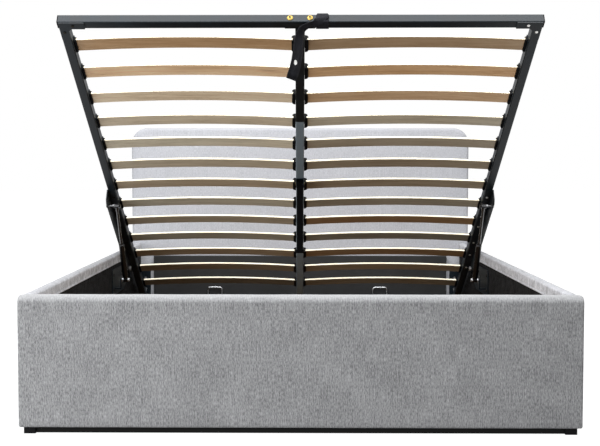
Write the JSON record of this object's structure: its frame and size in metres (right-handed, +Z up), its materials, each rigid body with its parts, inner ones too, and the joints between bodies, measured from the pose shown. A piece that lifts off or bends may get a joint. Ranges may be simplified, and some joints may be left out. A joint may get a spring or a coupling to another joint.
{
  "type": "ottoman storage bed",
  "caption": "Upholstered double bed base with a rounded headboard and a slatted steel lid that lifts on gas struts from the foot end over a boxed store.",
  "frame": {"origin": "on the floor under the middle of the bed", "axes": "+X across the bed, +Y from the footboard to the headboard, +Z up"},
  "size_m": [1.61, 2.15, 1.2318],
  "materials": {
    "back_cloth": "thin non-woven cloth, matt",
    "beech_slat": "clear lacquered laminated beech",
    "black_leg_steel": "satin powder coat",
    "black_lined_board": "board with a black lining",
    "black_lining": "thin non-woven lining, matt",
    "black_plastic": "moulded, fine grain",
    "black_plinth": "black stained",
    "black_steel": "satin powder coat",
    "black_webbing": "woven tape",
    "bright_wire": "plated wire",
    "bright_zinc": "bright zinc",
    "floor_panel": "dark faced hardboard",
    "frame_board": "raw particle board",
    "gloss_black_cylinder": "gloss paint",
    "grey_upholstery": "woven chenille, matt",
    "pine": "planed softwood",
    "strut_chrome": "polished",
    "yellow_zinc": "yellow passivated zinc"
  },
  "bodies": {
    "base": {"feet": "black_plastic", "floor_board_front": "floor_panel", "floor_board_rear": "floor_panel", "floor_frame": "pine", "foot_angles": "black_steel", "footboard_core": "frame_board", "footboard_cover": "grey_upholstery", "footboard_lining": "black_lining", "frame_bolts": "yellow_zinc", "head_angle_left": "black_steel", "head_angle_right": "black_steel", "head_panel": "black_lined_board", "head_panel_cleats": "pine", "headboard_back_cloth": "back_cloth", "headboard_core": "frame_board", "headboard_cover": "grey_upholstery", "hinge_base_left": "black_steel", "hinge_base_right": "black_steel", "mechanism_pins": "bright_zinc", "plinth_strips": "black_plinth", "side_board_core_left": "frame_board", "side_board_core_right": "frame_board", "side_board_cover_left": "grey_upholstery", "side_board_cover_right": "grey_upholstery", "side_board_lining_left": "black_lining", "side_board_lining_right": "black_lining", "wire_loops": "bright_wire"},
    "lid": {"lid_bolts": "yellow_zinc", "lid_bracket_left": "black_steel", "lid_bracket_right": "black_steel", "lid_gussets": "black_steel", "lid_rail_foot": "black_steel", "lid_rail_head": "black_steel", "lid_spine": "black_steel", "lid_tube_left": "black_steel", "lid_tube_right": "black_steel", "pull_strap": "black_webbing", "rail_end_caps": "black_plastic", "slat_holders_centre": "black_plastic", "slat_holders_left": "black_plastic", "slat_holders_right": "black_plastic", "slat_row_01": "beech_slat", "slat_row_02": "beech_slat", "slat_row_03": "beech_slat", "slat_row_04": "beech_slat", "slat_row_05": "beech_slat", "slat_row_06": "beech_slat", "slat_row_07": "beech_slat", "slat_row_08": "beech_slat", "slat_row_09": "beech_slat", "slat_row_10": "beech_slat", "slat_row_11": "beech_slat", "slat_row_12": "beech_slat", "slat_row_13": "beech_slat", "spine_brackets": "black_steel"},
    "strut_cylinder_left": {"strut_cylinder_left": "gloss_black_cylinder"},
    "strut_cylinder_right": {"strut_cylinder_right": "gloss_black_cylinder"},
    "strut_rod_left": {"strut_rod_left": "strut_chrome"},
    "strut_rod_right": {"strut_rod_right": "strut_chrome"},
    "centre_leg": {"centre_leg": "black_leg_steel"}
  },
  "joints": [
    {"name": "lid_hinge", "type": "hinge", "parent": "base", "child": "lid", "pos_m": [0, 0.58, 0.315], "axis": [1, 0, 0], "range_deg": [0, 33], "stiffness_Nm_per_rad": 60, "springref_deg": -143.24},
    {"name": "strut_swing_left", "type": "hinge", "parent": "base", "child": "strut_cylinder_left", "pos_m": [-0.716, 0.271, 0.297], "axis": [1, 0, 0], "range_deg": [0, 60.5]},
    {"name": "rod_slide_left", "type": "slide", "parent": "strut_cylinder_left", "child": "strut_rod_left", "axis": [0, -0.5345, 0.8452], "range_m": [-0.0935, 0]},
    {"name": "strut_swing_right", "type": "hinge", "parent": "base", "child": "strut_cylinder_right", "pos_m": [0.716, 0.271, 0.297], "axis": [1, 0, 0], "range_deg": [0, 60.5]},
    {"name": "rod_slide_right", "type": "slide", "parent": "strut_cylinder_right", "child": "strut_rod_right", "axis": [0, -0.5345, 0.8452], "range_m": [-0.0935, 0]},
    {"name": "centre_leg_pivot", "type": "hinge", "parent": "lid", "child": "centre_leg", "pos_m": [0, 0.0035, 0.69416], "axis": [1, 0, 0], "range_deg": [-33.2, 0]}
  ],
  "couplings": [
    {"joint": "strut_swing_left", "follows": "lid_hinge", "ratio": 1.8242},
    {"joint": "rod_slide_left", "follows": "lid_hinge", "m_per_rad": -0.1614},
    {"joint": "strut_swing_right", "follows": "lid_hinge", "ratio": 1.8242},
    {"joint": "rod_slide_right", "follows": "lid_hinge", "m_per_rad": -0.1614},
    {"joint": "centre_leg_pivot", "follows": "lid_hinge", "ratio": -1}
  ]
}
